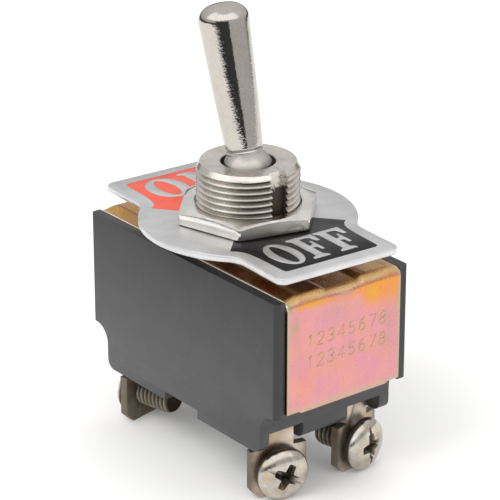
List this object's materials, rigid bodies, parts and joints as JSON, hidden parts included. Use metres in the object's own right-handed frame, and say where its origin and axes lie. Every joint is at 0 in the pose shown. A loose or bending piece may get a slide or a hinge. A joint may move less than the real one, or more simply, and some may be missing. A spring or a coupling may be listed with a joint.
{
  "type": "panel toggle switch",
  "caption": "Panel-mount toggle switch: threaded bushing with hex nut and ON/OFF legend plate, bat lever, channel frame over a moulded case, screw terminals below",
  "frame": {"origin": "on the bushing's axis, in the plane of the frame's top face", "axes": "+Z out of the panel along the bushing, towards the lever's side; +X towards the OFF end; +Y across the case"},
  "size_m": [0.0363, 0.0252, 0.0531],
  "materials": {
    "phenolic": "moulded, dull",
    "zinc": "zinc plated, yellow-pink chromate, semi-gloss",
    "plate": "satin, printed fields",
    "nickel": "bright nickel",
    "lever_chrome": "polished",
    "brass": "plain",
    "terminal": "bright, lightly tarnished",
    "silver": "plain silver alloy",
    "brown": "laminated, dull",
    "steel": "plain"
  },
  "bodies": {
    "base": {"case": "phenolic", "frame": "zinc", "bushing": "nickel", "lock_washer": "steel", "legend_plate": "plate", "common_terminal_a": "terminal", "common_terminal_b": "terminal", "load_terminal_a": "terminal", "load_terminal_b": "terminal", "fixed_contact_a": "silver", "fixed_contact_b": "silver"},
    "lever": {"lever": "lever_chrome", "pivot_pin": "steel", "actuator": "brown", "spring_a": "steel", "spring_b": "steel"},
    "plunger_a": {"plunger_a": "brass"},
    "plunger_b": {"plunger_b": "brass"},
    "rocker_a": {"rocker_a": "brass", "moving_contact_a": "silver"},
    "rocker_b": {"rocker_b": "brass", "moving_contact_b": "silver"},
    "nut": {"hex_nut": "nickel"},
    "common_screw_a": {"common_screw_a": "nickel"},
    "common_screw_b": {"common_screw_b": "nickel"},
    "load_screw_a": {"load_screw_a": "nickel"},
    "load_screw_b": {"load_screw_b": "nickel"}
  },
  "joints": [
    {"name": "lever_throw", "type": "hinge", "parent": "base", "child": "lever", "pos_m": [0, 0, 0.008], "axis": [0, 1, 0], "range_deg": [0, 29.4]},
    {"name": "plunger_a_slide", "type": "slide", "parent": "lever", "child": "plunger_a", "axis": [-0.2538, 0, 0.9673], "range_m": [0, 0.0008], "stiffness_N_per_m": 400, "springref_m": -0.0015, "deforming": ["spring_a"]},
    {"name": "rocker_a_rock", "type": "hinge", "parent": "base", "child": "rocker_a", "pos_m": [0, -0.0046, -0.012], "axis": [0, 1, 0], "range_deg": [-13, 0]},
    {"name": "plunger_b_slide", "type": "slide", "parent": "lever", "child": "plunger_b", "axis": [-0.2538, 0, 0.9673], "range_m": [0, 0.0008], "stiffness_N_per_m": 400, "springref_m": -0.0015, "deforming": ["spring_b"]},
    {"name": "rocker_b_rock", "type": "hinge", "parent": "base", "child": "rocker_b", "pos_m": [0, 0.0046, -0.012], "axis": [0, 1, 0], "range_deg": [-13, 0]},
    {"name": "nut_turn", "type": "hinge", "parent": "base", "child": "nut", "pos_m": [0, 0, 0.00365], "axis": [0, 0, 1], "continuous": true},
    {"name": "common_screw_a_turn", "type": "hinge", "parent": "base", "child": "common_screw_a", "pos_m": [-0.0134, -0.00565, -0.02289], "axis": [-0.9744, -0.225, 0], "continuous": true},
    {"name": "common_screw_b_turn", "type": "hinge", "parent": "base", "child": "common_screw_b", "pos_m": [-0.0134, 0.00565, -0.02289], "axis": [-0.9744, 0.225, 0], "continuous": true},
    {"name": "load_screw_a_turn", "type": "hinge", "parent": "base", "child": "load_screw_a", "pos_m": [0.0125, -0.00565, -0.02289], "axis": [0.9744, -0.225, 0], "continuous": true},
    {"name": "load_screw_b_turn", "type": "hinge", "parent": "base", "child": "load_screw_b", "pos_m": [0.0125, 0.00565, -0.02289], "axis": [0.9744, 0.225, 0], "continuous": true}
  ],
  "couplings": [
    {"joint": "rocker_a_rock", "follows": "lever_throw", "ratio": -0.44217},
    {"joint": "rocker_b_rock", "follows": "lever_throw", "ratio": -0.44217}
  ]
}
